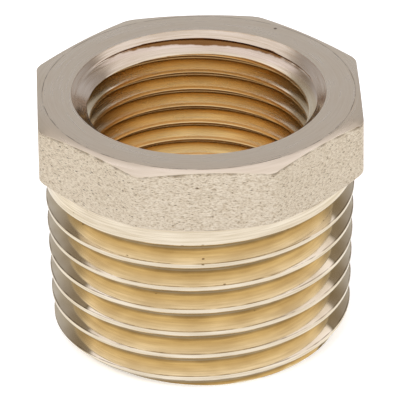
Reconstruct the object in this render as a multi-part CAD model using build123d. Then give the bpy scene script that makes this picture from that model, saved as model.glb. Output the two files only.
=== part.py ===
from build123d import *
import os
from math import atan, cos, degrees, radians, tan

# Reducing bush for threaded pipe, turned from one brass forging. An eight-sided head stands on
# a taper male thread, and the bore has the diameter to which a female thread is tapped.
# Millimetres. Z runs along the bore, and the flat ring at the small end lies on Z = 0.

# Eight-sided head
head_sides = 8
across_flats = 22.0
head_height = 4.6
head_corner_radius = 1.2
top_face_margin = 0.35
top_chamfer_angle = 15.0
shoulder_margin = 0.05
shoulder_chamfer_angle = 25.0

# Taper male thread
flank_angle = 27.5
male_length = 13.2
male_pitch = 1.814
male_depth = 1.162
male_crest_land = 0.40
male_taper = 1 / 16
gauge_diameter = 20.955
gauge_length = 6.4
male_groove_start = -1.12
male_groove_length = 12.85
male_fade_turns = 0.35
end_ring_diameter = 18.7
end_chamfer_angle = 45.0

# Bore, at the tapping diameter of the parallel female thread that the head's mouth opens into
female_major_diameter = 16.662
female_depth = 0.856
mouth_diameter = 17.4
mouth_chamfer_angle = 45.0
bore_edge_chamfer = 0.5

# Clearances by which a cutter passes the face that it opens
cutter_margin = 0.15
past_end = 3.0

# The fading stretch laps the full groove by this angle, and is this much slimmer on every side
fade_lap = 4.0
fade_inset = 0.02
full_turn = 360

# Sizes that follow from those above. The head's turned faces stop short of the flats by their margins.
total_height = male_length + head_height
top_face_radius = across_flats / 2 - top_face_margin
shoulder_radius = across_flats / 2 - shoulder_margin
male_slope = male_taper / 2
taper_angle = degrees(atan(male_slope))
small_end_radius = gauge_diameter / 2 - gauge_length * male_slope
stem_top_radius = small_end_radius + male_length * male_slope
tapping_radius = female_major_diameter / 2 - female_depth


def cone_band(low_radius, high_radius, low_z, high_z):
    """Frustum on the Z axis between two heights."""
    band = Cone(low_radius, high_radius, high_z - low_z, align=(Align.CENTER, Align.CENTER, Align.MIN))
    return Pos(0, 0, low_z) * band


def drum(radius, low_z, high_z):
    """Cylinder on the Z axis between two heights."""
    rod = Cylinder(radius, high_z - low_z, align=(Align.CENTER, Align.CENTER, Align.MIN))
    return Pos(0, 0, low_z) * rod


def groove_section(root_radius, centre_z, inset):
    """Corners (radius, z) of the groove's section. The inset draws its root and flanks in by that much."""
    flare = tan(radians(flank_angle))
    reach = male_depth + cutter_margin
    sharp_root = (male_pitch - male_crest_land) / 2 - male_depth * flare
    mouth = sharp_root + reach * flare - inset
    root = sharp_root + inset * flare - inset
    near_radius = root_radius + inset
    far_radius = root_radius + reach
    return [
        (near_radius, centre_z - root),
        (near_radius, centre_z + root),
        (far_radius, centre_z + mouth),
        (far_radius, centre_z - mouth),
    ]


def helical_bar(corners, height, cone_angle):
    """Sweep a section along a right-hand helix that starts over the +X axis at the section's root."""
    start_radius = corners[0][0]
    start_z = (corners[0][1] + corners[1][1]) / 2
    lead = male_pitch / cos(radians(cone_angle))
    path = Helix(lead, height, start_radius, center=(0, 0, start_z), cone_angle=cone_angle)
    section = make_face(Plane.XZ * Polyline(*corners, close=True))
    return sweep(section, path=path, is_frenet=True)


def thread_cutters():
    """Groove of the male thread, then the short groove that climbs out of the metal at its upper end."""
    start_root = small_end_radius + male_groove_start * male_slope - male_depth
    start = groove_section(start_root, male_groove_start, 0)
    groove = helical_bar(start, male_groove_length, taper_angle)
    run = male_groove_length - male_pitch * fade_lap / full_turn
    fade_height = male_fade_turns * male_pitch
    fade_angle = degrees(atan((male_depth + cutter_margin) / fade_height))
    low = groove_section(start_root + run * male_slope, male_groove_start + run, fade_inset)
    fade = helical_bar(low, fade_height, fade_angle)
    return [groove, Rot(0, 0, full_turn * run / male_pitch) * fade]


def end_chamfer_cutter():
    """Ring that takes the corner off the small end of the male thread."""
    slope = tan(radians(end_chamfer_angle))
    ring_radius = end_ring_diameter / 2
    high_z = (stem_top_radius - ring_radius) * slope
    low_radius = ring_radius - cutter_margin / slope
    ring = drum(stem_top_radius + past_end, -cutter_margin, high_z)
    return ring - cone_band(low_radius, stem_top_radius, -cutter_margin, high_z)


def build_head():
    """Eight-sided head, its corners softened and its two ends turned to shallow cones."""
    half_sector = full_turn / head_sides / 2
    outline = RegularPolygon(across_flats / 2, head_sides, major_radius=False, rotation=half_sector)
    outline = fillet(outline.vertices(), head_corner_radius)
    prism = Pos(0, 0, male_length) * extrude(outline, head_height)
    corner_radius = across_flats / 2 / cos(radians(half_sector))
    top_drop = (corner_radius - top_face_radius) * tan(radians(top_chamfer_angle))
    shoulder_rise = (corner_radius - shoulder_radius) * tan(radians(shoulder_chamfer_angle))
    low_z = male_length + shoulder_rise
    high_z = total_height - top_drop
    turned = cone_band(shoulder_radius, corner_radius, male_length, low_z)
    turned += drum(corner_radius, low_z, high_z)
    turned += cone_band(corner_radius, top_face_radius, high_z, total_height)
    return prism & turned


def bore_cutter():
    """Bore with its chamfered edge at the small end."""
    chamfer = cone_band(tapping_radius + bore_edge_chamfer, tapping_radius, 0, bore_edge_chamfer)
    return drum(tapping_radius, -past_end, total_height) + chamfer


def mouth_cutter():
    """Cone that opens the mouth of the bore, carried on above the top face."""
    mouth_radius = mouth_diameter / 2
    slope = tan(radians(mouth_chamfer_angle))
    low_z = total_height - (mouth_radius - tapping_radius) * slope
    over_radius = mouth_radius + past_end / slope
    return cone_band(tapping_radius, over_radius, low_z, total_height + past_end)


def build_bushing():
    """The whole bush as one solid. The thread is cut before the chamfer that crosses it."""
    body = cone_band(small_end_radius, stem_top_radius, 0, male_length) + build_head()
    for cutter in thread_cutters():
        body -= cutter
    body -= end_chamfer_cutter()
    body -= bore_cutter()
    return body - mouth_cutter()


os.makedirs("parts", exist_ok=True)
bushing_body = build_bushing()
export_step(bushing_body, "parts/bushing_body.step")
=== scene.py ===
import logging
import math
from collections.abc import Callable, Iterable
from dataclasses import dataclass, field
from enum import Enum

import bmesh
import bpy
from mathutils import Matrix, Vector


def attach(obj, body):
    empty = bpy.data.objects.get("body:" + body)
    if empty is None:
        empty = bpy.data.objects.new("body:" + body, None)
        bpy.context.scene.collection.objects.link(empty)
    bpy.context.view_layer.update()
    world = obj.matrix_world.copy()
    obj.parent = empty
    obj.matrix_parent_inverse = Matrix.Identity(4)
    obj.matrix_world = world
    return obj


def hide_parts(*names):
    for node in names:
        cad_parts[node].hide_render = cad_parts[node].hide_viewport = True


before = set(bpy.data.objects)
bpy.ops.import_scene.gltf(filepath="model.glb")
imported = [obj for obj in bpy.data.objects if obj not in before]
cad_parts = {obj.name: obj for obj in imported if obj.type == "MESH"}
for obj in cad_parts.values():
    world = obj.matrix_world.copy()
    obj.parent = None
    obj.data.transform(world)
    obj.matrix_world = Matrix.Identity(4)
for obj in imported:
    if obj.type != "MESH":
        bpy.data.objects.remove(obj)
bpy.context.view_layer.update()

LOG = logging.getLogger("bushing")

# Metres in a millimetre, a whole turn in radians, and columns of faces in one turn of a thread
MM = 0.001
FULL_TURN = 2 * math.pi
COLUMNS = 256

# Digits to which an angle names a point of the head's outline
ANGLE_DIGITS = 4

# Reach, in metres, of a level cut, of the weld along a thread's seam and of the weld of the whole skin
CUT_REACH = 1e-8
SEAM_WELD = 1e-7
SKIN_WELD = 2e-7

# Distance, in millimetres, within which a point counts as lying at a height
LEVEL_REACH = 0.001

# Ends of a mask that rises and of one that falls, the middle of a noise, and paper white
RISING = (0.0, 1.0)
FALLING = (1.0, 0.0)
NOISE_MIDDLE = 0.5
WHITE = (1.0, 1.0, 1.0, 1.0)

Socket = bpy.types.NodeSocket
Outputs = bpy.types.bpy_prop_collection
Links = dict[str | int, Socket | float | tuple]
Colour = tuple[float, float, float]
Span = tuple[float, float]
Law = Callable[[float, float], float]


class Surface(Enum):
    """Zones of the bush's skin, in the order of its material slots."""

    FORGED = 0
    TURNED = 1
    STEM = 2
    BORE = 3
    END = 4


# ---------------------------------------------------------------- modelling helpers


def deselect_all() -> None:
    """Leave nothing selected, so that the next operator acts on new geometry only."""
    if bpy.context.mode != "OBJECT":
        bpy.ops.object.mode_set(mode="OBJECT")
    bpy.ops.object.select_all(action="DESELECT")


def activate(piece: bpy.types.Object) -> None:
    """Make one object the selected and active one.

    Args:
        piece: The object that the next operators work on.
    """
    deselect_all()
    piece.select_set(True)
    bpy.context.view_layer.objects.active = piece


def edit(piece: bpy.types.Object, select_mode: str = "VERT") -> bmesh.types.BMesh:
    """Enter edit mode with nothing selected.

    Args:
        piece: The object to edit.
        select_mode: VERT, EDGE or FACE.

    Returns:
        The live edit mesh.
    """
    activate(piece)
    bpy.ops.object.mode_set(mode="EDIT")
    bpy.ops.mesh.select_mode(type=select_mode)
    bpy.ops.mesh.select_all(action="DESELECT")
    return bmesh.from_edit_mesh(piece.data)


def leave_edit() -> None:
    """Go back to object mode, which writes the edit mesh into the object."""
    bpy.ops.object.mode_set(mode="OBJECT")


def polar(point: Vector) -> tuple[float, float]:
    """Radius and angle of a point about the bore's axis."""
    return math.hypot(point.x, point.y), math.atan2(point.y, point.x)


def place_ring(piece: bpy.types.Object, station: Callable[[float], Span]) -> None:
    """Move the selected vertices, each at its own angle about the bore's axis.

    Args:
        piece: The object, in edit mode.
        station: Radius and height in millimetres, as a function of the angle.
    """
    sheet = bmesh.from_edit_mesh(piece.data)
    for vertex in sheet.verts:
        if vertex.select:
            _, angle = polar(vertex.co)
            radius, height = station(angle)
            vertex.co = Vector((radius * math.cos(angle), radius * math.sin(angle), height)) * MM
    bmesh.update_edit_mesh(piece.data)


def smooth_high(a: float, b: float, width: float) -> float:
    """The larger of two values, with the corner between them rounded over a width."""
    h = max(width - abs(a - b), 0.0) / width
    return max(a, b) + h * h * width / 4


def smooth_low(a: float, b: float, width: float) -> float:
    """The smaller of two values, with the corner between them rounded over a width."""
    return -smooth_high(-a, -b, width)


def share_of(value: float, low: float, high: float) -> float:
    """Share of the way from low to high, held between 0 and 1."""
    return min(max((value - low) / (high - low), 0.0), 1.0)


# ---------------------------------------------------------------- threads


@dataclass
class PipeThread:
    """One helical thread. Lengths are in millimetres.

    Attributes:
        pitch: Rise of one turn.
        depth: Depth of the groove.
        land: Width of the flat crest.
        phase: Height of a groove's centre over the +X axis.
        outward: 1 for a male thread and -1 for a female one.
        crest_radius: Crest radius at height 0.
        slope: Growth of the crest radius with height.
        root_round: Width over which the root's corners are rounded.
        crest_round: Depth over which the crest's upper and lower corners are rounded.
        stations: Distances from the groove's centre at which a row of vertices runs.
        fade_low: Groove heights over which the groove dies out downwards, if it does.
        fade_high: Groove heights over which the groove dies out upwards, if it does.
        fade_margin: How far past its own depth a groove that has died out is lifted.
        flank: Angle of a flank from the level.
    """

    pitch: float
    depth: float
    land: float
    phase: float
    outward: int
    crest_radius: float
    slope: float
    root_round: float
    crest_round: Span
    stations: tuple[float, ...]
    fade_low: Span | None = None
    fade_high: Span | None = None
    fade_margin: float = 0.2
    flank: float = math.radians(27.5)

    def centre(self, angle: float, z: float) -> float:
        """Height of the groove centre nearest to a point.

        Args:
            angle: Angle about the axis, in radians.
            z: Height of the point.

        Returns:
            The groove centre's height at that angle.
        """
        at_angle = self.phase + self.pitch * angle / FULL_TURN
        return at_angle + self.pitch * round((z - at_angle) / self.pitch)

    def crest(self, z: float) -> float:
        """Radius of the crests at a height."""
        return self.crest_radius + self.slope * z

    def groove(self, angle: float, z: float) -> float:
        """Depth of the groove below the crest surface at a point.

        Args:
            angle: Angle about the axis, in radians.
            z: Height of the point.

        Returns:
            The depth, in millimetres.
        """
        centre = self.centre(angle, z)
        mouth_half = (self.pitch - self.land) / 2
        flank_depth = (mouth_half - abs(z - centre)) / math.tan(self.flank)
        lift = 0.0
        if self.fade_high:
            lift += share_of(centre, *self.fade_high)
        if self.fade_low:
            lift += 1.0 - share_of(centre, *self.fade_low)
        sunk = smooth_low(flank_depth, self.depth, self.root_round) - lift * (self.depth + self.fade_margin)
        return smooth_high(sunk, 0.0, self.crest_round[z > centre])

    def radius(self, angle: float, z: float) -> float:
        """Radius of the threaded surface at a point."""
        return self.crest(z) - self.outward * self.groove(angle, z)

    def rows(self, low: float, high: float) -> list[float]:
        """Heights, over the +X axis, of the vertex rows that follow the helix.

        Args:
            low: Lowest height that the skin must reach at every angle.
            high: Highest height that the skin must reach at every angle.

        Returns:
            The heights in rising order, with a whole pitch to spare at both ends.
        """
        # A row half a pitch below one centre is the row half a pitch above the next, so it is left out.
        offsets = sorted({s for d in self.stations for s in (d, -d)} - {-self.pitch / 2})
        first = math.floor((low - self.phase) / self.pitch) - 1
        last = math.ceil((high - self.phase) / self.pitch) + 1
        return [self.phase + self.pitch * n + s for n in range(first, last + 1) for s in offsets]

    def turn(self, name: str, rows: list[float]) -> bpy.types.Object:
        """Draw a row of points and screw it through one turn.

        Args:
            name: Name of the new object.
            rows: Heights of the points.

        Returns:
            The tube, at the crest radius all over.
        """
        drawn = bpy.data.meshes.new(name)
        points = [(self.crest_radius * MM, 0.0, z * MM) for z in rows]
        drawn.from_pydata(points, [(i, i + 1) for i in range(len(points) - 1)], [])
        tube = bpy.data.objects.new(name, drawn)
        bpy.context.scene.collection.objects.link(tube)
        activate(tube)
        screw = tube.modifiers.new("turn", "SCREW")
        screw.axis = "Z"
        screw.angle = FULL_TURN
        screw.screw_offset = self.pitch * MM
        screw.steps = screw.render_steps = COLUMNS
        screw.use_merge_vertices = False
        bpy.ops.object.modifier_apply(modifier=screw.name)
        return tube

    def skin(self, name: str, ends: Span, rings: Iterable[float], law: Law) -> bpy.types.Object:
        """Threaded tube, cut level at both ends.

        Args:
            name: Name of the new object.
            ends: Heights of the lower and upper cut.
            rings: Heights of extra level rings, where a turned cone crosses the thread.
            law: Radius of the skin as a function of angle and height.

        Returns:
            The open tube.
        """
        tube = self.turn(name, self.rows(*ends))
        edit(tube)
        bpy.ops.mesh.select_all(action="SELECT")
        bpy.ops.mesh.remove_doubles(threshold=SEAM_WELD)
        cuts = [(height, {}) for height in rings]
        cuts += [(ends[1], {"clear_outer": True}), (ends[0], {"clear_inner": True})]
        for height, waste in cuts:
            bpy.ops.mesh.select_all(action="SELECT")
            level = {"plane_co": (0, 0, height * MM), "plane_no": (0, 0, 1)}
            bpy.ops.mesh.bisect(**level, threshold=CUT_REACH, **waste)
        sheet = bmesh.from_edit_mesh(tube.data)
        for vertex in sheet.verts:
            _, angle = polar(vertex.co)
            radius = law(angle, vertex.co.z / MM) * MM
            vertex.co.x, vertex.co.y = radius * math.cos(angle), radius * math.sin(angle)
        bmesh.update_edit_mesh(tube.data)
        leave_edit()
        return tube


# ---------------------------------------------------------------- the bush


@dataclass(frozen=True)
class Loop:
    """Open loop of the skin, found by its place. Lengths are in millimetres.

    Attributes:
        height: Height of the loop.
        radius: Its radius.
        reach: How far from that radius its vertices may lie.
    """

    height: float
    radius: float
    reach: float = 0.05

    def holds(self, vertex: bmesh.types.BMVert) -> bool:
        """Whether a vertex lies on the loop."""
        off = polar(vertex.co)[0] / MM - self.radius
        return abs(off) < self.reach and abs(vertex.co.z / MM - self.height) < LEVEL_REACH

    def select(self, sheet: bmesh.types.BMesh) -> int:
        """Add the loop's edges to the selection.

        Args:
            sheet: The edit mesh.

        Returns:
            The number of edges selected.
        """
        found = [edge for edge in sheet.edges if edge.is_boundary and all(map(self.holds, edge.verts))]
        for edge in found:
            edge.select_set(True)
        return len(found)


@dataclass
class Stem:
    """Taper-threaded stem under the head. Lengths are in millimetres.

    Attributes:
        length: Height of the stem's top, where the head starts.
        end_radius: Radius of the end chamfer at height 0.
        end_slope: Growth of the end chamfer's radius with height.
        end_round: Width over which the chamfer's corner is rounded.
        end_reach: How far the thread may draw in the edge of the small end.
        thread_top: Height at which the threaded skin stops and the neck starts.
        neck_ring: How far the neck's ring under the head is drawn in, and how far below the head it lies.
        ring_step: Distance between the level rings of the end chamfer.
        ring_count: Number of those rings.
        thread: The male thread.
    """

    length: float = 13.2
    end_radius: float = 9.35
    end_slope: float = 1.0
    end_round: float = 0.05
    end_reach: float = 0.4
    thread_top: float = 12.7
    neck_ring: Span = (0.002, 0.1)
    ring_step: float = 0.08
    ring_count: int = 13
    thread: PipeThread = field(
        default_factory=lambda: PipeThread(
            pitch=1.814,
            depth=1.162,
            land=0.34,
            phase=0.693,
            outward=1,
            crest_radius=10.2775,
            slope=1 / 32,
            root_round=0.22,
            crest_round=(0.012, 0.28),
            stations=(0.0, 0.06, 0.13, 0.20, 0.42, 0.62, 0.69, 0.737, 0.78, 0.83, 0.907),
            fade_high=(11.73, 12.36),
        )
    )

    def chamfer(self, z: float) -> float:
        """Radius of the end chamfer at a height."""
        return self.end_radius + self.end_slope * z

    def radius(self, angle: float, z: float) -> float:
        """Radius of the stem, with the end chamfer taken off."""
        return smooth_low(self.thread.radius(angle, z), self.chamfer(z), self.end_round)

    def build(self) -> bpy.types.Object:
        """Threaded skin of the stem, up to the plain neck."""
        rings = [self.ring_step * n for n in range(1, self.ring_count + 1)]
        return self.thread.skin("bush_stem", (0.0, self.thread_top), rings, self.radius)

    def neck(self) -> list[Span]:
        """Place the rings of the plain neck.

        Returns:
            Radius and height of each ring.
        """
        inset, drop = self.neck_ring
        top = self.thread.crest(self.length)
        return [(top - inset, self.length - drop), (top, self.length)]


@dataclass
class Bore:
    """Female thread, its mouth chamfer and the plain bore below it. Lengths are in millimetres.

    Attributes:
        plain_radius: Radius of the plain bore.
        plain_ring: Height of a ring halfway down the plain bore.
        thread_floor: Height at which the threaded skin stops.
        mouth_radius: Radius of the mouth at the top face.
        mouth_round: Width over which the mouth's corner is rounded.
        top: Height of the top face.
        edge_chamfer: Width of the chamfer at the small end.
        ring_step: Distance between the level rings of the mouth.
        ring_count: Number of those rings.
        thread: The female thread.
    """

    plain_radius: float = 7.475
    plain_ring: float = 2.9
    thread_floor: float = 5.3
    mouth_radius: float = 8.7
    mouth_round: float = 0.04
    top: float = 17.8
    edge_chamfer: float = 0.5
    ring_step: float = 0.07
    ring_count: int = 18
    thread: PipeThread = field(
        default_factory=lambda: PipeThread(
            pitch=1.337,
            depth=0.856,
            land=0.24,
            phase=6.194,
            outward=-1,
            crest_radius=7.475,
            slope=0.0,
            root_round=0.16,
            crest_round=(0.012, 0.06),
            stations=(0.0, 0.06, 0.11, 0.17, 0.33, 0.47, 0.5485, 0.6, 0.6685),
            fade_low=(5.9, 6.4),
        )
    )

    def radius(self, angle: float, z: float) -> float:
        """Radius of the bore, with the mouth opened by a cone."""
        cone = self.mouth_radius - (self.top - z)
        return smooth_high(self.thread.radius(angle, z), cone, self.mouth_round)

    def build(self) -> bpy.types.Object:
        """Threaded skin of the bore, down to the plain stretch."""
        rings = [self.top - self.ring_step * n for n in range(1, self.ring_count + 1)]
        return self.thread.skin("bush_bore", (self.thread_floor, self.top), rings, self.radius)

    def plain_stretch(self) -> list[Span]:
        """Radius and height of each ring of the plain bore and its chamfered edge."""
        plain, edge = self.plain_radius, self.edge_chamfer
        return [(plain, self.plain_ring), (plain, edge), (plain + edge, 0.0)]


@dataclass
class Head:
    """Eight-sided wrench head, forged on its flats and turned at both ends. Lengths are in millimetres.

    Attributes:
        sides: Number of flats.
        across_flats: Distance between opposite flats.
        corner_radius: Radius of the softened corners.
        low: Height of the head's underside.
        high: Height of its top face.
        face_radius: Radius of the level top face.
        face_angle: Angle of the cone round the top face.
        shoulder_radius: Radius of the level underside.
        shoulder_angle: Angle of the cone round the underside.
        mouth_margin: Radius at which the head's skin stops round the mouth.
        neck_margin: Radius at which it stops round the neck.
        edge_break: Distance over which each turned edge is broken.
        break_share: Largest part of a cone's width that a broken edge takes.
        break_lead: Inset and height, as shares of the break, of its first ring on the flat.
        flat_length: Length past which an edge of the outline is a flat and not a corner.
        flat_cuts: Number of cuts along each flat.
        corner_cuts: Number of steps round each corner.
        rows: Number of rows up each flat.
    """

    sides: int = 8
    across_flats: float = 22.0
    corner_radius: float = 1.2
    low: float = 13.2
    high: float = 17.8
    face_radius: float = 10.65
    face_angle: float = math.radians(15)
    shoulder_radius: float = 10.95
    shoulder_angle: float = math.radians(25)
    mouth_margin: float = 8.95
    neck_margin: float = 10.8
    edge_break: float = 0.04
    break_share: float = 0.35
    break_lead: Span = (0.15, 0.3)
    flat_length: float = 2.0
    flat_cuts: int = 23
    corner_cuts: int = 8
    rows: int = 5

    def outline(self) -> bpy.types.Object:
        """Draw the head's outline: an eight-sided circle with softened corners and cut flats.

        Returns:
            The ring of edges.
        """
        deselect_all()
        corner = self.across_flats / 2 / math.cos(math.pi / self.sides)
        bpy.ops.mesh.primitive_circle_add(
            vertices=self.sides,
            radius=corner * MM,
            fill_type="NOTHING",
            location=(0, 0, self.low * MM),
            rotation=(0, 0, math.pi / self.sides),
        )
        ring = bpy.context.object
        ring.name = "bush_head"
        bpy.ops.object.transform_apply(location=True, rotation=True, scale=True)
        edit(ring)
        bpy.ops.mesh.select_all(action="SELECT")
        setback = self.corner_radius * math.tan(math.pi / self.sides)
        bpy.ops.mesh.bevel(
            offset=setback * MM,
            offset_type="OFFSET",
            segments=self.corner_cuts,
            affect="VERTICES",
            profile=0.5,
        )
        sheet = bmesh.from_edit_mesh(ring.data)
        bpy.ops.mesh.select_mode(type="EDGE")
        bpy.ops.mesh.select_all(action="DESELECT")
        for edge in sheet.edges:
            edge.select_set(edge.calc_length() > self.flat_length * MM)
        bpy.ops.mesh.subdivide(number_cuts=self.flat_cuts)
        leave_edit()
        return ring

    def section(self, reach: float) -> list[Span]:
        """Half-section of the head through one point of its outline.

        Args:
            reach: Radius of the outline at that angle, in millimetres.

        Returns:
            Radius and height of each station, from the neck up to the face round the mouth. The
            turned edges are broken by two stations each.
        """
        under, over = reach - self.shoulder_radius, reach - self.face_radius
        rise, drop = math.tan(self.shoulder_angle), math.tan(self.face_angle)
        low_edge, high_edge = self.low + under * rise, self.high - over * drop
        near = min(self.edge_break, self.break_share * under)
        far = min(self.edge_break, self.break_share * over)
        first, last = low_edge + self.edge_break, high_edge - self.edge_break
        inset, lead = self.break_lead
        stations = [
            (self.neck_margin, self.low),
            (self.shoulder_radius - near, self.low),
            (self.shoulder_radius + near, self.low + near * rise),
            (reach - near, low_edge - near * rise),
            (reach - inset * near, low_edge + lead * self.edge_break),
        ]
        for row in range(self.rows + 1):
            stations.append((reach, first + (last - first) * row / self.rows))
        return stations + [
            (reach - inset * far, high_edge - lead * self.edge_break),
            (reach - far, high_edge + far * drop),
            (self.face_radius + far, self.high - far * drop),
            (self.face_radius - far, self.high),
            ((self.face_radius + self.mouth_margin) / 2, self.high),
            (self.mouth_margin, self.high),
        ]

    def build(self) -> bpy.types.Object:
        """Carry the outline through every station of its section.

        Returns:
            The open shell of the head, from the neck up to the face round the mouth.
        """
        ring = self.outline()
        edit(ring, "EDGE")
        bpy.ops.mesh.select_all(action="SELECT")
        sections = {}
        for vertex in bmesh.from_edit_mesh(ring.data).verts:
            radius, angle = polar(vertex.co)
            sections[round(angle, ANGLE_DIGITS)] = self.section(radius / MM)
        for station in range(len(self.section(self.across_flats / 2))):
            if station:
                bpy.ops.mesh.extrude_edges_move()
            place_ring(ring, lambda angle: sections[round(angle, ANGLE_DIGITS)][station])
        leave_edit()
        return ring


@dataclass
class Bushing:
    """The whole bush: stem, bore and head joined into one closed skin. Lengths are in millimetres.

    Attributes:
        stem: The threaded stem.
        bore: The threaded bore.
        head: The wrench head.
        sharp_angle: Angle between faces past which an edge is shaded sharp.
        flat_radius: Radius past which an upright face of the head is forged.
        flat_lean: Largest upward part of a forged face's normal.
        wall_radius: Radius that parts the bore's edge from the stem's skin.
        mouth_limit: Radius that parts the mouth from the top face.
        mouth_low: Height below which every face within that radius is the bore's.
        chamfer_reach: How far from the end chamfer's cone its faces may lie.
        chamfer_lean: Upward part of the normal below which a face is the chamfer's and not the thread's.
    """

    stem: Stem = field(default_factory=Stem)
    bore: Bore = field(default_factory=Bore)
    head: Head = field(default_factory=Head)
    sharp_angle: float = math.radians(34)
    flat_radius: float = 10.9
    flat_lean: float = 0.2
    wall_radius: float = 8.5
    mouth_limit: float = 8.75
    mouth_low: float = 17.5
    chamfer_reach: float = 0.05
    chamfer_lean: float = -0.5

    @staticmethod
    def extend(shell: bpy.types.Object, loop: Loop, steps: list[Span]) -> None:
        """Carry an open loop on through plain turned rings.

        Args:
            shell: The skin.
            loop: The open loop.
            steps: Radius and height of each further ring.
        """
        loop.select(edit(shell, "EDGE"))
        for step in steps:
            bpy.ops.mesh.extrude_edges_move()
            place_ring(shell, lambda angle: step)
        leave_edit()

    @staticmethod
    def close(shell: bpy.types.Object, inner: Loop, outer: Loop) -> None:
        """Fill the flat ring between two open loops, one inside the other.

        Args:
            shell: The skin.
            inner: The smaller loop.
            outer: The larger loop.
        """
        sheet = edit(shell, "EDGE")
        counts = inner.select(sheet), outer.select(sheet)
        bpy.ops.mesh.fill(use_beauty=True)
        leave_edit()
        LOG.info("filled between loops of %d and %d edges", *counts)

    def join(self) -> bpy.types.Object:
        """Model the three sub-assemblies and join them.

        Returns:
            One object with the open skins of all three.
        """
        parts = [self.stem.build(), self.bore.build(), self.head.build()]
        for part in parts:
            LOG.info("%s has %d faces", part.name, len(part.data.polygons))
        deselect_all()
        for part in parts:
            part.select_set(True)
        bpy.context.view_layer.objects.active = parts[0]
        bpy.ops.object.join()
        shell = bpy.context.object
        shell.name = shell.data.name = "bushing_shell"
        return shell

    def build(self) -> bpy.types.Object:
        """Join the open skins, add the plain neck and bore, and close the three level faces.

        Returns:
            The closed skin, shaded smooth except at its turned edges.
        """
        stem, bore, head = self.stem, self.bore, self.head
        shell = self.join()
        neck, plain = stem.neck(), bore.plain_stretch()
        self.extend(shell, Loop(stem.thread_top, stem.thread.crest(stem.thread_top)), neck)
        self.extend(shell, Loop(bore.thread_floor, bore.plain_radius), plain)
        self.close(shell, Loop(head.low, neck[-1][0]), Loop(head.low, head.neck_margin))
        self.close(shell, Loop(head.high, bore.mouth_radius), Loop(head.high, head.mouth_margin))
        self.close(shell, Loop(0.0, plain[-1][0]), Loop(0.0, stem.end_radius, stem.end_reach))
        edit(shell, "FACE")
        bpy.ops.mesh.select_all(action="SELECT")
        bpy.ops.mesh.remove_doubles(threshold=SKIN_WELD)
        bpy.ops.mesh.normals_make_consistent(inside=False)
        leave_edit()
        activate(shell)
        bpy.ops.object.shade_smooth_by_angle(angle=self.sharp_angle)
        return shell

    def dress(self, shell: bpy.types.Object, finishes: dict[Surface, bpy.types.Material]) -> None:
        """Give each zone of the skin its finish.

        Args:
            shell: The closed skin.
            finishes: The material of each zone.
        """
        for zone in Surface:
            shell.data.materials.append(finishes[zone])
        for face in shell.data.polygons:
            face.material_index = self.zone(Vector(face.center) / MM, face.normal).value

    def zone(self, centre: Vector, normal: Vector) -> Surface:
        """Zone that a face of the skin belongs to.

        Args:
            centre: Middle of the face, in millimetres.
            normal: Its outward normal.

        Returns:
            The zone.
        """
        radius, _ = polar(centre)
        inward = normal.x * centre.x + normal.y * centre.y < 0
        if centre.z > self.head.low and radius > self.flat_radius and abs(normal.z) < self.flat_lean:
            return Surface.FORGED
        if centre.z <= LEVEL_REACH:
            return Surface.TURNED
        if radius < self.mouth_limit and (inward or centre.z < self.mouth_low):
            return Surface.BORE
        if centre.z >= self.stem.length - LEVEL_REACH or radius <= self.wall_radius:
            return Surface.TURNED
        # The end chamfer faces the shadowed floor, so its faces get a zone with painted shade.
        on_chamfer = abs(radius - self.stem.chamfer(centre.z)) < self.chamfer_reach
        return Surface.END if on_chamfer and normal.z < self.chamfer_lean else Surface.STEM


# ---------------------------------------------------------------- node trees


def rgba(colour: Colour) -> tuple[float, float, float, float]:
    """Colour with full opacity."""
    return (*colour, 1.0)


class Wiring:
    """A node tree, with what adds and wires its nodes."""

    def __init__(self, tree: bpy.types.NodeTree) -> None:
        """Work on one node tree."""
        self.tree = tree

    def node(self, kind: str, links: Links | None = None, **settings: object) -> bpy.types.Node:
        """Add a node, set its options and wire its inputs.

        Args:
            kind: Node type.
            links: Value or source socket of each input, by name or index.
            **settings: Options of the node.

        Returns:
            The node.
        """
        node = self.tree.nodes.new(kind)
        for option, value in settings.items():
            setattr(node, option, value)
        for key, value in (links or {}).items():
            if isinstance(value, Socket):
                self.tree.links.new(value, node.inputs[key])
            else:
                node.inputs[key].default_value = value
        return node

    def math(self, operation: str, *values: Socket | float) -> Socket:
        """Result of a maths node."""
        return self.node("ShaderNodeMath", dict(enumerate(values)), operation=operation).outputs[0]

    def split(self, place: Socket) -> list[Socket]:
        """The three parts of a vector."""
        return list(self.node("ShaderNodeSeparateXYZ", {0: place}).outputs)

    def ramp(self, source: Socket, span: tuple = RISING, ends: Span = RISING) -> Socket:
        """Map a value from a span to a pair of ends, and hold it between them.

        Args:
            source: The value.
            span: Where the ramp starts and stops, as numbers or as sockets.
            ends: What it gives there.

        Returns:
            The mapped value.
        """
        links = {0: source, 1: span[0], 2: span[1], 3: ends[0], 4: ends[1]}
        return self.node("ShaderNodeMapRange", links).outputs[0]

    def noise(self, place: Socket, scale: Socket | float, detail: float, rough: float = 0.5) -> Socket:
        """Noise between 0 and 1.

        Args:
            place: Where it is read.
            scale: Number of its lumps for each unit of length.
            detail: Number of finer layers.
            rough: Strength of the finer layers.

        Returns:
            The noise.
        """
        links = {"Vector": place, "Scale": scale, "Detail": detail, "Roughness": rough}
        return self.node("ShaderNodeTexNoise", links).outputs[0]

    def sway(self, texture: Socket, size: Socket | float) -> Socket:
        """Noise about zero, times a size."""
        return self.math("MULTIPLY", self.math("SUBTRACT", texture, NOISE_MIDDLE), size)

    def mix(self, share: Socket, first: Socket | tuple, second: Socket | tuple, kind: str = "MIX") -> Socket:
        """Mix two colours.

        Args:
            share: Share of the second colour.
            first: The first colour.
            second: The second colour.
            kind: How the second colour acts on the first.

        Returns:
            The mixed colour.
        """
        links = {0: share, 6: first, 7: second}
        return self.node("ShaderNodeMix", links, data_type="RGBA", blend_type=kind).outputs[2]


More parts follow.
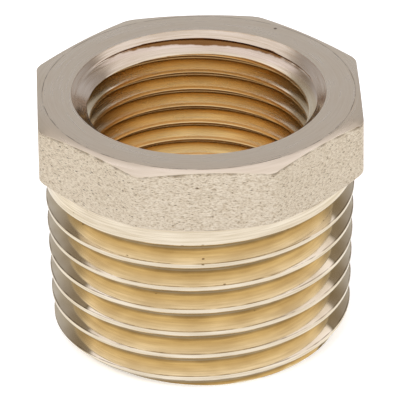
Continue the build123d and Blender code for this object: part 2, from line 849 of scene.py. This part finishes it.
class Effect(Wiring):
    """Builder of a shader node group with named inputs and outputs. Every effect is read at a place."""

    def __init__(self, name: str) -> None:
        """Start a group that has one input, Vector.

        Args:
            name: Name of the group.
        """
        super().__init__(bpy.data.node_groups.new(name, "ShaderNodeTree"))
        self.entry = self.node("NodeGroupInput")
        self.exit = self.node("NodeGroupOutput")
        self.place = self.take("Vector", "NodeSocketVector")

    def take(self, name: str, kind: str = "NodeSocketFloat") -> Socket:
        """Add a named input and return its socket inside the group."""
        self.tree.interface.new_socket(name=name, in_out="INPUT", socket_type=kind)
        return self.entry.outputs[name]

    def give(self, name: str, source: Socket) -> None:
        """Add a named output fed by a socket."""
        self.tree.interface.new_socket(name=name, in_out="OUTPUT", socket_type="NodeSocketFloat")
        self.tree.links.new(source, self.exit.inputs[name])

    def reach(self) -> tuple[Socket, Socket]:
        """Measure the place.

        Returns:
            Its distance from the bore's axis, and its height.
        """
        x, y, z = self.split(self.place)
        square = self.math("ADD", self.math("MULTIPLY", x, x), self.math("MULTIPLY", y, y))
        return self.math("SQRT", square), z

    def drawn_out(self, flatten: Socket | float) -> Socket:
        """The place with its height stretched, so that a pattern on it comes out flattened."""
        spread = self.node("ShaderNodeCombineXYZ", {0: 1.0, 1: 1.0, 2: flatten}).outputs[0]
        return self.node("ShaderNodeVectorMath", {0: self.place, 1: spread}, operation="MULTIPLY").outputs[0]


# ---------------------------------------------------------------- shared effects


def build_tool_marks() -> bpy.types.NodeTree:
    """Fine turning lines round the axis, as height and as mask.

    Returns:
        A group with inputs Vector, Axial, Radial, Turn Rise and Density, and outputs Height and Streaks.
    """
    breaks = 300.0
    coarse_pace = 0.21
    fine_share, coarse_share = 0.6, 0.4
    streak_span = (0.38, 0.62)
    fx = Effect("tool marks")
    axial, radial, rise, density = (fx.take(name) for name in ("Axial", "Radial", "Turn Rise", "Density"))
    x, y, z = fx.split(fx.place)
    radius, _ = fx.reach()
    turns = fx.math("DIVIDE", fx.math("ARCTAN2", y, x), FULL_TURN)
    climb = fx.math("SUBTRACT", fx.math("MULTIPLY", z, axial), fx.math("MULTIPLY", turns, rise))
    track = fx.math("ADD", climb, fx.math("MULTIPLY", radius, radial))
    line = fx.math("MULTIPLY", track, density)
    along = {0: fx.math("MULTIPLY", x, breaks), 1: fx.math("MULTIPLY", y, breaks)}
    spot = fx.node("ShaderNodeCombineXYZ", {**along, 2: line}).outputs[0]
    wide = fx.node("ShaderNodeCombineXYZ", {**along, 2: fx.math("MULTIPLY", line, coarse_pace)}).outputs[0]
    fine = fx.math("MULTIPLY", fx.noise(spot, scale=1.0, detail=3.0), fine_share)
    coarse = fx.math("MULTIPLY", fx.noise(wide, scale=1.0, detail=2.0), coarse_share)
    height = fx.math("ADD", fine, coarse)
    fx.give("Height", height)
    fx.give("Streaks", fx.ramp(height, streak_span))
    return fx.tree


def build_grain() -> bpy.types.NodeTree:
    """Rough forged grain with pits.

    Returns:
        A group with inputs Vector, Scale, Flatten and Pit Level, and outputs Height, Grain and Pits.
        Flatten draws the grains out into level dashes.
    """
    lump_pace, well_pace = 0.45, 0.4
    grain_share, lump_share, well_share = 0.75, 0.25, 0.25
    grain_span = (0.38, 0.58)
    pit_softness = 0.09
    well_span, well_ends = (0.12, 0.30), (0.5, 0.0)
    fx = Effect("forged grain")
    scale, flatten, level = (fx.take(name) for name in ("Scale", "Flatten", "Pit Level"))
    drawn = fx.drawn_out(flatten)
    grain = fx.noise(drawn, scale, detail=4.0, rough=0.6)
    lumps = fx.noise(drawn, fx.math("MULTIPLY", scale, lump_pace), detail=2.0)
    height = fx.math("ADD", fx.math("MULTIPLY", grain, grain_share), fx.math("MULTIPLY", lumps, lump_share))
    cells = {"Vector": drawn, "Scale": fx.math("MULTIPLY", scale, well_pace)}
    wells = fx.ramp(fx.node("ShaderNodeTexVoronoi", cells).outputs["Distance"], well_span, well_ends)
    fx.give("Height", fx.math("SUBTRACT", height, fx.math("MULTIPLY", wells, well_share)))
    fx.give("Grain", fx.ramp(height, grain_span))
    fx.give("Pits", fx.ramp(height, (level, fx.math("ADD", level, pit_softness)), FALLING))
    return fx.tree


def build_specks() -> bpy.types.NodeTree:
    """Scattered specks, stretched round the axis, such as fine chips and nicks.

    Returns:
        A group with inputs Vector, Density and Size, and output Specks.
    """
    stretch = 3.0
    core_share = 0.6
    bare_share = 0.55
    fx = Effect("specks")
    density, size = fx.take("Density"), fx.take("Size")
    cells = fx.node("ShaderNodeTexVoronoi", {"Vector": fx.drawn_out(stretch), "Scale": density}).outputs
    first, second, _ = fx.node("ShaderNodeSeparateColor", {0: cells["Color"]}).outputs
    limit = fx.math("MULTIPLY", size, first)
    speck = fx.ramp(cells["Distance"], (fx.math("MULTIPLY", limit, core_share), limit), FALLING)
    fx.give("Specks", fx.math("MULTIPLY", speck, fx.math("GREATER_THAN", second, bare_share)))
    return fx.tree


def build_groove_depth() -> bpy.types.NodeTree:
    """Depth of a point below the crests of a thread, as masks.

    Returns:
        A group with inputs Vector, Crest Radius, Slope, Outward and Depth, and outputs Root, Flank,
        Edge and Crest. Flank rises from 0 at the root to 1 at the crest, and Edge is a broken line at
        the top of the flank.
    """
    root_shake, root_span = 0.12, (0.80, 0.98)
    flank_span, crest_span = (0.0, 0.95), (0.01, 0.07)
    edge_place, edge_span = 0.045, (0.015, 0.04)
    patch_span = (0.38, 0.58)
    fx = Effect("groove depth")
    crest, slope, outward, depth = (fx.take(name) for name in ("Crest Radius", "Slope", "Outward", "Depth"))
    radius, z = fx.reach()
    sunk = fx.math("SUBTRACT", fx.math("ADD", crest, fx.math("MULTIPLY", z, slope)), radius)
    share = fx.math("DIVIDE", fx.math("MULTIPLY", sunk, outward), depth)
    wobble = fx.noise(fx.place, scale=700.0, detail=4.0)
    thin = fx.ramp(fx.math("ABSOLUTE", fx.math("SUBTRACT", share, edge_place)), edge_span, FALLING)
    # Root places the painted shade in the thread's roots.
    fx.give("Root", fx.ramp(fx.math("ADD", share, fx.sway(wobble, root_shake)), root_span))
    fx.give("Flank", fx.ramp(share, flank_span, FALLING))
    # Edge places a painted dark line along each crest's edge, standing in for its reflection of darker
    # surroundings.
    fx.give("Edge", fx.math("MULTIPLY", thin, fx.ramp(wobble, patch_span)))
    fx.give("Crest", fx.ramp(share, crest_span, FALLING))
    return fx.tree


def build_mouth_mask() -> bpy.types.NodeTree:
    """Where the mouth's cone lies, what lies above its foot, and how ragged its lower edge is.

    Returns:
        A group with inputs Vector, Offset and Level, and outputs Cone, Above and Wobble. Offset is the
        cone's radius less its height, and Level is the height of its foot. Wobble grows to both sides.
    """
    cone_width, cone_span = 0.00003, (0.6, 1.0)
    foot_fade = 0.0002
    wobble_size = 0.25
    middle, narrowing = 0.0006, 60.0
    fx = Effect("mouth mask")
    offset, level = fx.take("Offset"), fx.take("Level")
    radius, z = fx.reach()
    wobble = fx.noise(fx.place, scale=1900.0, detail=5.0)
    ragged = fx.math("MULTIPLY", fx.math("ADD", wobble, NOISE_MIDDLE), cone_width)
    off = fx.math("ABSOLUTE", fx.math("SUBTRACT", fx.math("SUBTRACT", radius, z), offset))
    cone = fx.ramp(fx.math("DIVIDE", off, ragged), cone_span, FALLING)
    above = fx.ramp(fx.math("SUBTRACT", z, level), (0.0, foot_fade))
    # The sideways term narrows the painted shade in the first groove towards both sides.
    sideways = fx.math("ABSOLUTE", fx.math("SUBTRACT", fx.split(fx.place)[0], middle))
    fx.give("Cone", fx.math("MULTIPLY", cone, above))
    fx.give("Above", above)
    fx.give("Wobble", fx.math("ADD", fx.sway(wobble, wobble_size), fx.math("MULTIPLY", sideways, narrowing)))
    return fx.tree


def build_ring_line() -> bpy.types.NodeTree:
    """One fine line where the skin crosses a cone, broken up along its length.

    Returns:
        A group with inputs Vector, Radius, Slope and Width, and output Line. The line lies where the
        radius plus the height times Slope comes to Radius.
    """
    sway_share = 2.0
    line_span, patch_span = (0.3, 1.0), (0.36, 0.56)
    fx = Effect("ring line")
    radius, slope, width = (fx.take(name) for name in ("Radius", "Slope", "Width"))
    reach, z = fx.reach()
    patchy = fx.noise(fx.place, scale=900.0, detail=4.0)
    ragged = fx.sway(patchy, fx.math("MULTIPLY", width, sway_share))
    cone = fx.math("ADD", fx.math("ADD", reach, fx.math("MULTIPLY", z, slope)), ragged)
    off = fx.math("DIVIDE", fx.math("ABSOLUTE", fx.math("SUBTRACT", cone, radius)), width)
    fx.give("Line", fx.math("MULTIPLY", fx.ramp(off, line_span, FALLING), fx.ramp(patchy, patch_span)))
    return fx.tree


# ---------------------------------------------------------------- finishes


class Paint(Wiring):
    """Wiring of one metal material, made from the shared effects."""

    def __init__(self, material: bpy.types.Material, groups: dict[str, bpy.types.NodeTree]) -> None:
        """Start from the material's own shader.

        Args:
            material: A new material.
            groups: The effects' node groups by name.
        """
        material.use_nodes = True
        super().__init__(material.node_tree)
        self.groups = groups
        self.shader = self.tree.nodes["Principled BSDF"]
        self.place = self.node("ShaderNodeTexCoord").outputs["Object"]

    def effect(self, name: str, values: Links) -> Outputs:
        """Place one of the shared effects.

        Args:
            name: Name of the effect.
            values: Its inputs.

        Returns:
            Its outputs.
        """
        links = {"Vector": self.place, **values}
        return self.node("ShaderNodeGroup", links, node_tree=self.groups[name]).outputs

    def feed(self, name: str, source: Socket) -> None:
        """Wire an input of the shader."""
        self.tree.links.new(source, self.shader.inputs[name])


@dataclass(frozen=True)
class ToolMarks:
    """Turning lines of a finish.

    Attributes:
        relief: Depth of the lines, in millimetres.
        radial: Share of the lines that runs with radius. All of them run with height.
        rise: Rise of a line in one turn, in millimetres.
        density: Lines for each metre.
        streak_share: How strongly the streaks darken the colour.
        stain: What the streaks leave of the colour.
    """

    relief: float
    radial: float
    streak_share: float
    rise: float = 0.0
    density: float = 9000.0
    stain: Colour = (0.66, 0.60, 0.50)

    def effect(self, paint: Paint) -> Outputs:
        """Place the lines and return the effect's outputs."""
        values = {"Axial": 1.0, "Radial": self.radial, "Turn Rise": self.rise * MM, "Density": self.density}
        return paint.effect("tool marks", values)


@dataclass(frozen=True)
class Grain:
    """Forged grain of a finish.

    Attributes:
        relief: Depth of the grain, in millimetres.
        scale: Grains for each metre.
        flatten: How far the grains are drawn out into level dashes.
        share: How strongly the grain's hollows are darkened towards the dull colour, a painted shade.
        pit_level: How much of the surface is pitted.
    """

    relief: float
    scale: float
    flatten: float
    share: float
    pit_level: float

    def effect(self, paint: Paint) -> Outputs:
        """Place the grain and return the effect's outputs."""
        values = {"Scale": self.scale, "Flatten": self.flatten, "Pit Level": self.pit_level}
        return paint.effect("forged grain", values)


@dataclass(frozen=True)
class RingLine:
    """Dark line round the axis, where the skin crosses a cone.

    Attributes:
        radius: Radius of the line, plus its height times the slope, in millimetres.
        width: Its width, in millimetres.
        share: How dark it is.
        slope: Steepness of the cone that it lies on, as radius lost for each unit of height.
    """

    radius: float
    width: float
    share: float
    slope: float = 0.0

    def over(self, paint: Paint, tone: Socket, dark: Colour) -> Socket:
        """Draw the line on a colour.

        Args:
            paint: The material's wiring.
            tone: The colour so far.
            dark: Colour of the line.

        Returns:
            The colour with the line on it.
        """
        values = {"Radius": self.radius * MM, "Width": self.width * MM, "Slope": self.slope}
        line = paint.ramp(paint.effect("ring line", values)["Line"], ends=(0.0, self.share))
        return paint.mix(line, tone, rgba(dark))


@dataclass(frozen=True)
class MouthTones:
    """Colours of the mouth that a thread opens into.

    Attributes:
        offset: Radius of the mouth's cone less its height, in millimetres.
        foot: Height of the cone's foot, in millimetres.
        bright: Colour of clean metal at the mouth.
        deep: Colour of the first groove at the mouth, a painted shade under the mouth's lip.
        band: Shares of the flank, from the root, between which that painted shade dies out.
    """

    offset: float
    foot: float
    bright: Colour
    deep: Colour
    band: Span = (0.30, 0.42)

    def effect(self, paint: Paint) -> Outputs:
        """Place the mouth's masks and return the effect's outputs."""
        return paint.effect("mouth mask", {"Offset": self.offset * MM, "Level": self.foot * MM})

    def over(self, paint: Paint, tone: Socket, clean: Socket, flank: Socket, mask: Outputs) -> Socket:
        """Lay the mouth's colours over a thread's.

        Args:
            paint: The material's wiring.
            tone: The thread's colour.
            clean: Colour of clean metal at the mouth.
            flank: How far up the flank a point lies.
            mask: Outputs of the mouth's effect.

        Returns:
            The colour of thread and mouth.
        """
        band = paint.ramp(paint.math("ADD", flank, mask["Wobble"]), self.band, FALLING)
        tone = paint.mix(mask["Above"], tone, clean)
        # Painted shade in the first groove under the mouth's lip.
        tone = paint.mix(paint.math("MULTIPLY", band, mask["Above"]), tone, rgba(self.deep))
        return paint.mix(mask["Cone"], tone, clean)


@dataclass(frozen=True)
class GrooveTones:
    """Colours of a thread, from its crests to its roots. The darker colours towards the roots are painted
    shade.

    Attributes:
        thread: The thread.
        deep: Colour of a groove towards its root, a painted shade.
        deep_reach: Shares of the flank, from the root, between which that colour dies out.
        root_share: How dark the painted shade in the root is.
        edge_share: How dark the painted dark line at the top of each flank is, standing in for the crest's
            edge mirroring darker surroundings.
        crest: Colour of the crests, where it differs from clean metal.
        mouth: Colours of the mouth that the thread opens into, if it has one.
    """

    thread: PipeThread
    deep: Colour
    deep_reach: Span
    root_share: float = 0.85
    edge_share: float = 0.0
    crest: Colour | None = None
    mouth: MouthTones | None = None

    def over(self, paint: Paint, clean: Socket, dark: Colour) -> Socket:
        """Lay the thread's colours over clean metal.

        Args:
            paint: The material's wiring.
            clean: Colour of clean metal.
            dark: Colour of the painted shade in the roots and of the painted dark line at the top of each
                flank.

        Returns:
            The thread's colour.
        """
        values = {
            "Crest Radius": self.thread.crest_radius * MM,
            "Slope": self.thread.slope,
            "Outward": self.thread.outward,
            "Depth": self.thread.depth * MM,
        }
        groove = paint.effect("groove depth", values)
        if self.mouth:
            mask = self.mouth.effect(paint)
            clean = paint.mix(mask["Above"], clean, rgba(self.mouth.bright))
        # Painted shade: the grooves darken towards their roots, and are darkest in the roots.
        tone = paint.mix(paint.ramp(groove["Flank"], self.deep_reach, FALLING), clean, rgba(self.deep))
        tone = paint.mix(paint.ramp(groove["Root"], ends=(0.0, self.root_share)), tone, rgba(dark))
        if self.crest:
            tone = paint.mix(groove["Crest"], tone, rgba(self.crest))
        # Painted dark line along each crest's edge, standing in for its reflection of darker surroundings.
        tone = paint.mix(paint.ramp(groove["Edge"], ends=(0.0, self.edge_share)), tone, rgba(dark))
        return self.mouth.over(paint, tone, clean, groove["Flank"], mask) if self.mouth else tone


@dataclass(frozen=True)
class Brass:
    """One finish of the brass. It has either tool marks or grain.

    Attributes:
        name: Name of the material.
        bright: Colour of clean metal.
        dull: Colour of dulled metal, and of the grain's hollows, where it is painted shade.
        dark: Colour of specks, pits and lines, and of the painted shade in a thread's roots.
        roughness: Lowest and highest roughness.
        speck_size: Largest size of a speck, as a share of the distance between specks.
        speck_density: Specks for each metre.
        cloud_scale: Soft patches for each metre.
        cloud_share: How strongly the metal is dulled in soft patches.
        texture: The turning lines or the forged grain.
        groove: Colours of the thread that the finish lies on.
        lines: The dark lines round the axis.
    """

    name: str
    bright: Colour
    dull: Colour
    dark: Colour
    roughness: Span
    speck_size: float
    texture: ToolMarks | Grain
    speck_density: float = 700.0
    cloud_scale: float = 160.0
    cloud_share: float = 0.35
    groove: GrooveTones | None = None
    lines: tuple[RingLine, ...] = ()

    def build(self, groups: dict[str, bpy.types.NodeTree]) -> bpy.types.Material:
        """Wire the material from the shared effects.

        Args:
            groups: The effects' node groups by name.

        Returns:
            The material.
        """
        material = bpy.data.materials.new(self.name)
        paint = Paint(material, groups)
        texture = self.texture.effect(paint)
        marked = isinstance(self.texture, ToolMarks)
        cloud = paint.noise(paint.place, self.cloud_scale, detail=3.0)
        dulled = paint.ramp(cloud, ends=(0.0, self.cloud_share))
        tone = paint.mix(dulled, rgba(self.bright), rgba(self.dull))
        if self.groove:
            tone = self.groove.over(paint, tone, self.dark)
        if marked:
            streaks = paint.ramp(texture["Streaks"], ends=(self.texture.streak_share, 0.0))
            tone = paint.mix(streaks, tone, rgba(self.texture.stain), "MULTIPLY")
        for line in self.lines:
            tone = line.over(paint, tone, self.dark)
        # Painted shade: the grain's real hollows take the dull colour and its real pits the dark one.
        if not marked:
            grain = paint.ramp(texture["Grain"], ends=(self.texture.share, 0.0))
            tone = paint.mix(texture["Pits"], paint.mix(grain, tone, rgba(self.dull)), rgba(self.dark))
        specks = paint.effect("specks", {"Size": self.speck_size, "Density": self.speck_density})
        paint.feed("Base Color", paint.mix(specks["Specks"], tone, rgba(self.dark)))
        smoothness = texture["Streaks" if marked else "Grain"]
        paint.feed("Roughness", paint.ramp(smoothness, ends=self.roughness[::-1]))
        relief = {"Strength": 1.0, "Distance": self.texture.relief * MM, "Height": texture["Height"]}
        paint.feed("Normal", paint.node("ShaderNodeBump", relief).outputs[0])
        paint.shader.inputs["Metallic"].default_value = 1.0
        return material


def forged_flats(head: Head) -> Brass:
    """Finish of the head's flats, with a dark line along each turned cone and painted shade in the grain's
    hollows and pits.
    """
    rise, drop = math.tan(head.shoulder_angle), math.tan(head.face_angle)
    return Brass(
        name="forged flats",
        bright=(1.0, 0.89, 0.71),
        dull=(0.47, 0.34, 0.18),
        dark=(0.16, 0.10, 0.05),
        roughness=(0.30, 0.46),
        speck_size=0.3,
        speck_density=1900.0,
        cloud_share=0.1,
        texture=Grain(relief=0.14, scale=5200.0, flatten=3.0, share=0.62, pit_level=0.32),
        lines=(
            RingLine(head.face_radius + head.high / drop, width=0.9, share=0.65, slope=1 / drop),
            RingLine(head.shoulder_radius - head.low / rise, width=0.12, share=0.7, slope=-1 / rise),
        ),
    )


def turned_faces() -> Brass:
    """Finish of the top face, its cone, the underside and the ring at the small end."""
    return Brass(
        name="turned faces",
        bright=(0.90, 0.79, 0.63),
        dull=(0.80, 0.69, 0.53),
        dark=(0.20, 0.14, 0.09),
        roughness=(0.26, 0.38),
        speck_size=0.12,
        texture=ToolMarks(relief=0.003, radial=1.0, streak_share=0.25),
        lines=(RingLine(radius=10.66, width=0.045, share=0.7),),
    )


def turned_stem(stem: Stem) -> Brass:
    """Finish of the male thread and the neck: bright, with golden grooves that darken towards the roots in
    painted shade, and a painted dark line along each crest's edge.
    """
    return Brass(
        name="turned stem",
        bright=(1.0, 0.90, 0.71),
        dull=(0.88, 0.75, 0.54),
        dark=(0.26, 0.18, 0.09),
        roughness=(0.05, 0.13),
        speck_size=0.1,
        texture=ToolMarks(relief=0.003, radial=0.6, streak_share=0.6, rise=stem.thread.pitch),
        groove=GrooveTones(stem.thread, deep=(0.87, 0.71, 0.43), deep_reach=(0.25, 0.9), edge_share=0.7),
    )


def shaded_end_chamfer() -> Brass:
    """Chamfer at the small end, darkened as painted shade where it faces the shadowed floor, with more
    nicks.
    """
    return Brass(
        name="end chamfer",
        bright=(0.48, 0.37, 0.21),
        dull=(0.34, 0.25, 0.13),
        dark=(0.16, 0.10, 0.05),
        roughness=(0.26, 0.38),
        speck_size=0.2,
        speck_density=1200.0,
        texture=ToolMarks(relief=0.003, radial=1.0, streak_share=0.5),
    )


def tapped_bore(bore: Bore) -> Brass:
    """Finish of the bore: golden grooves that darken towards the roots in painted shade, browner crests, and
    a pinkish mouth over a first groove in painted shade.
    """
    return Brass(
        name="tapped bore",
        bright=(0.98, 0.88, 0.68),
        dull=(0.88, 0.74, 0.50),
        dark=(0.42, 0.25, 0.10),
        roughness=(0.14, 0.28),
        speck_size=0.08,
        texture=ToolMarks(
            relief=0.006,
            radial=0.6,
            streak_share=0.45,
            rise=bore.thread.pitch,
            density=8000.0,
        ),
        groove=GrooveTones(
            bore.thread,
            deep=(0.79, 0.60, 0.32),
            deep_reach=(0.1, 0.75),
            crest=(0.80, 0.60, 0.36),
            mouth=MouthTones(
                offset=bore.mouth_radius - bore.top,
                foot=16.5,
                bright=(0.80, 0.68, 0.56),
                deep=(0.27, 0.13, 0.045),
            ),
        ),
        lines=(
            RingLine(radius=8.69, width=0.04, share=0.4),
            RingLine(radius=8.42, width=0.03, share=0.25),
        ),
    )


def build_finishes(bushing: Bushing) -> dict[Surface, bpy.types.Material]:
    """Make the finish of every zone.

    Args:
        bushing: The bush, for its sizes.

    Returns:
        The material of each zone.
    """
    groups = {
        "tool marks": build_tool_marks(),
        "forged grain": build_grain(),
        "specks": build_specks(),
        "groove depth": build_groove_depth(),
        "mouth mask": build_mouth_mask(),
        "ring line": build_ring_line(),
    }
    finishes = {
        Surface.FORGED: forged_flats(bushing.head),
        Surface.TURNED: turned_faces(),
        Surface.STEM: turned_stem(bushing.stem),
        Surface.END: shaded_end_chamfer(),
        Surface.BORE: tapped_bore(bushing.bore),
    }
    return {zone: finish.build(groups) for zone, finish in finishes.items()}


# ---------------------------------------------------------------- studio


@dataclass(frozen=True)
class Lamp:
    """Soft square lamp.

    Attributes:
        name: Name of the lamp.
        place: Its place, in millimetres.
        size: Its width, in millimetres.
        power: Its power, in watts.
    """

    name: str
    place: tuple[float, float, float]
    size: float
    power: float

    def build(self, target: Vector) -> None:
        """Hang the lamp and aim it.

        Args:
            target: The point that it lights, in millimetres.
        """
        data = bpy.data.lights.new(self.name, "AREA")
        data.size = self.size * MM
        data.energy = self.power
        lamp = bpy.data.objects.new(self.name, data)
        lamp.location = Vector(self.place) * MM
        aim = target - Vector(self.place)
        lamp.rotation_euler = aim.to_track_quat("-Z", "Y").to_euler()
        lamp.visible_glossy = False
        bpy.context.scene.collection.objects.link(lamp)


@dataclass
class Studio:
    """Pale floor, soft light and the camera. Lengths are in millimetres.

    The surround is described by headings, which are level unit vectors, and by the rise of a ray,
    which is its upward part. In front of the tent's edge the surround is a white tent, and behind it
    a room in bands, which is gloomy at both sides.

    Attributes:
        focus: Point that the camera and the lamps aim at.
        elevation: Angle of the camera above level.
        azimuth: Angle of the camera about the bore's axis.
        distance: Distance of the camera from the focus.
        shift_right: How far the camera is moved to the left of its aim.
        shift_up: How far the camera is moved below its aim.
        roll: Roll of the camera.
        lens: Focal length of the camera's lens.
        sensor: Width of its sensor.
        clip: Nearest and furthest distance that it sees, in metres.
        floor_size: Width of the floor.
        floor_gap: How far the floor lies below the small end.
        floor_colour: Grey of the floor.
        floor_glow: Light that the floor adds for the camera, so that it comes out near white.
        shade_radius: Radius of the lit disc at the foot of the bore.
        shade_lift: Height of that disc.
        shade_colour: Colour of its light.
        tent_edge: Backward headings over which the tent gives way to the room.
        tent_colour: Colour of the tent.
        lean_reach: Sideways headings over which the room leans.
        lean: How far the room leans at the end of that reach.
        room_bands: Rise and colour of each step of the room.
        gloom_side: Sideways headings over which the gloom sets in.
        gloom_rise: Rises over which it sets in.
        gloom_top: Rise at which it stops.
        gloom_colour: Its colour.
        lamps: The lamps.
    """

    focus: tuple[float, float, float] = (0.0, 0.0, 10.2)
    elevation: float = math.radians(30.40)
    azimuth: float = math.radians(-1.731)
    distance: float = 366.56
    shift_right: float = 0.003
    shift_up: float = 0.871
    roll: float = math.radians(0.717)
    lens: float = 479.9
    sensor: float = 36.0
    clip: Span = (0.02, 10.0)
    floor_size: float = 2000.0
    floor_gap: float = 0.02
    floor_colour: Colour = (0.9, 0.9, 0.9)
    floor_glow: float = 0.35
    shade_radius: float = 7.9
    shade_lift: float = 0.01
    shade_colour: Colour = (0.96, 0.88, 0.74)
    tent_edge: Span = (0.17, 0.37)
    tent_colour: Colour = (0.95, 0.94, 0.97)
    lean_reach: Span = (0.0, 0.9)
    lean: float = 0.08
    room_bands: tuple[tuple[float, Colour], ...] = (
        (-0.36, (0.95, 0.93, 0.92)),
        (-0.25, (0.62, 0.60, 0.58)),
        (0.10, (0.50, 0.49, 0.50)),
        (0.54, (0.52, 0.53, 0.59)),
        (0.67, (0.17, 0.14, 0.095)),
        (0.71, (0.17, 0.14, 0.095)),
        (0.730, (0.96, 0.93, 1.0)),
    )
    gloom_side: Span = (0.3, 0.6)
    gloom_rise: Span = (0.30, 0.66)
    gloom_top: float = 0.70
    gloom_colour: Colour = (0.25, 0.21, 0.165)
    lamps: tuple[Lamp, ...] = (
        Lamp("key", place=(-120, -220, 260), size=160, power=0.55),
        Lamp("fill", place=(180, -160, 180), size=200, power=0.25),
    )

    def camera(self) -> None:
        """Set up a long-lens camera, looking down on the bush from in front."""
        data = bpy.data.cameras.new("camera")
        data.lens = self.lens
        data.sensor_width = self.sensor
        data.clip_start, data.clip_end = self.clip
        turn = Matrix.Rotation(self.azimuth, 3, "Z")
        forward = turn @ Vector((0, math.cos(self.elevation), -math.sin(self.elevation)))
        right = turn @ Vector((1, 0, 0))
        up = right.cross(forward)
        place = Vector(self.focus) - right * self.shift_right - up * self.shift_up - forward * self.distance
        across = right * math.cos(self.roll) - up * math.sin(self.roll)
        upward = right * math.sin(self.roll) + up * math.cos(self.roll)
        axes = Matrix((across, upward, -forward)).transposed().to_4x4()
        camera = bpy.data.objects.new("camera", data)
        camera.matrix_world = Matrix.Translation(place * MM) @ axes
        bpy.context.scene.collection.objects.link(camera)
        bpy.context.scene.camera = camera

    def room(self, sky: Wiring, rise: Socket, sideways: Socket) -> Socket:
        """Wire the room behind the bush.

        Args:
            sky: The surround's wiring.
            rise: Rise of the ray, leaned.
            sideways: Sideways heading of the ray.

        Returns:
            The room's colour.
        """
        banded = sky.node("ShaderNodeValToRGB", {0: sky.ramp(rise, (-1.0, 1.0))})
        # The bands run from a rise of -1 at position 0 to a rise of 1 at position 1.
        bands = banded.color_ramp.elements
        while len(bands) < len(self.room_bands):
            bands.new(1.0)
        for band, (step, colour) in zip(bands, self.room_bands):
            band.position = (step + 1) / 2
            band.color = rgba(colour)
        side = sky.ramp(sky.math("ABSOLUTE", sideways), self.gloom_side)
        gloom = sky.math("MULTIPLY", side, sky.ramp(rise, self.gloom_rise))
        gloom = sky.math("MULTIPLY", gloom, sky.math("LESS_THAN", rise, self.gloom_top))
        return sky.mix(gloom, banded.outputs[0], rgba(self.gloom_colour))

    def surround(self) -> None:
        """Make the world: a white tent in front and a room behind, and white for what the camera sees."""
        world = bpy.data.worlds.new("studio")
        bpy.context.scene.world = world
        world.use_nodes = True
        world.node_tree.nodes.clear()
        sky = Wiring(world.node_tree)
        x, y, z = sky.split(sky.node("ShaderNodeTexCoord").outputs["Generated"])
        level = sky.node("ShaderNodeCombineXYZ", {0: x, 1: y}).outputs[0]
        heading = sky.node("ShaderNodeVectorMath", {0: level}, operation="NORMALIZE").outputs[0]
        sideways, backward, _ = sky.split(heading)
        rise = sky.math("ADD", z, sky.ramp(sideways, self.lean_reach, (0.0, self.lean)))
        room = self.room(sky, rise, sideways)
        glow = sky.mix(sky.ramp(backward, self.tent_edge), rgba(self.tent_colour), room)
        seen = sky.node("ShaderNodeLightPath").outputs["Is Camera Ray"]
        shown = sky.mix(seen, glow, WHITE)
        light = sky.node("ShaderNodeBackground", {"Color": shown, "Strength": 1.0})
        sky.node("ShaderNodeOutputWorld", {0: light.outputs[0]})

    @staticmethod
    def paper(name: str, sheet: bpy.types.Object) -> Wiring:
        """Give a sheet of the studio a bare material.

        Args:
            name: Name of the material.
            sheet: The sheet.

        Returns:
            The material's wiring, with no node yet.
        """
        material = bpy.data.materials.new(name)
        material.use_nodes = True
        material.node_tree.nodes.clear()
        sheet.data.materials.append(material)
        return Wiring(material.node_tree)

    def floor(self) -> None:
        """Lay the pale floor, which takes the bush's shadow and isn't mirrored in it."""
        deselect_all()
        bpy.ops.mesh.primitive_plane_add(size=self.floor_size * MM, location=(0, 0, -self.floor_gap * MM))
        floor = bpy.context.object
        floor.name = "studio_floor"
        floor.visible_glossy = False
        paper = self.paper("pale paper", floor)
        matte = paper.node("ShaderNodeBsdfDiffuse", {"Color": rgba(self.floor_colour)}).outputs[0]
        glow = paper.node("ShaderNodeEmission", {"Color": WHITE, "Strength": self.floor_glow})
        both = paper.node("ShaderNodeAddShader", {0: matte, 1: glow.outputs[0]}).outputs[0]
        seen = paper.node("ShaderNodeLightPath").outputs["Is Camera Ray"]
        mixed = paper.node("ShaderNodeMixShader", {0: seen, 1: matte, 2: both})
        paper.node("ShaderNodeOutputMaterial", {0: mixed.outputs[0]})

    def lit_disc(self) -> None:
        """Lay a lit disc at the foot of the bore, for the light that comes up through the bush."""
        deselect_all()
        bpy.ops.mesh.primitive_circle_add(
            radius=self.shade_radius * MM, fill_type="NGON", location=(0, 0, self.shade_lift * MM)
        )
        shade = bpy.context.object
        shade.name = "studio_floor_in_bore"
        warm = self.paper("lit paper in bore", shade)
        lit = warm.node("ShaderNodeEmission", {"Color": rgba(self.shade_colour), "Strength": 1.0})
        warm.node("ShaderNodeOutputMaterial", {0: lit.outputs[0]})

    def build(self) -> None:
        """Set up the camera, surround, floor and lamps."""
        bpy.context.scene.view_settings.view_transform = "Standard"
        self.camera()
        self.surround()
        self.floor()
        self.lit_disc()
        for lamp in self.lamps:
            lamp.build(Vector(self.focus))


def main() -> None:
    """Build the bush, dress it and light it."""
    logging.basicConfig(level=logging.INFO, format="%(name)s: %(message)s")
    bushing = Bushing()
    shell = bushing.build()
    bushing.dress(shell, build_finishes(bushing))
    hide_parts("bushing_body")
    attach(shell, "root")
    LOG.info("%s has %d faces", shell.name, len(shell.data.polygons))
    Studio().build()


if __name__ == "__main__":
    main()
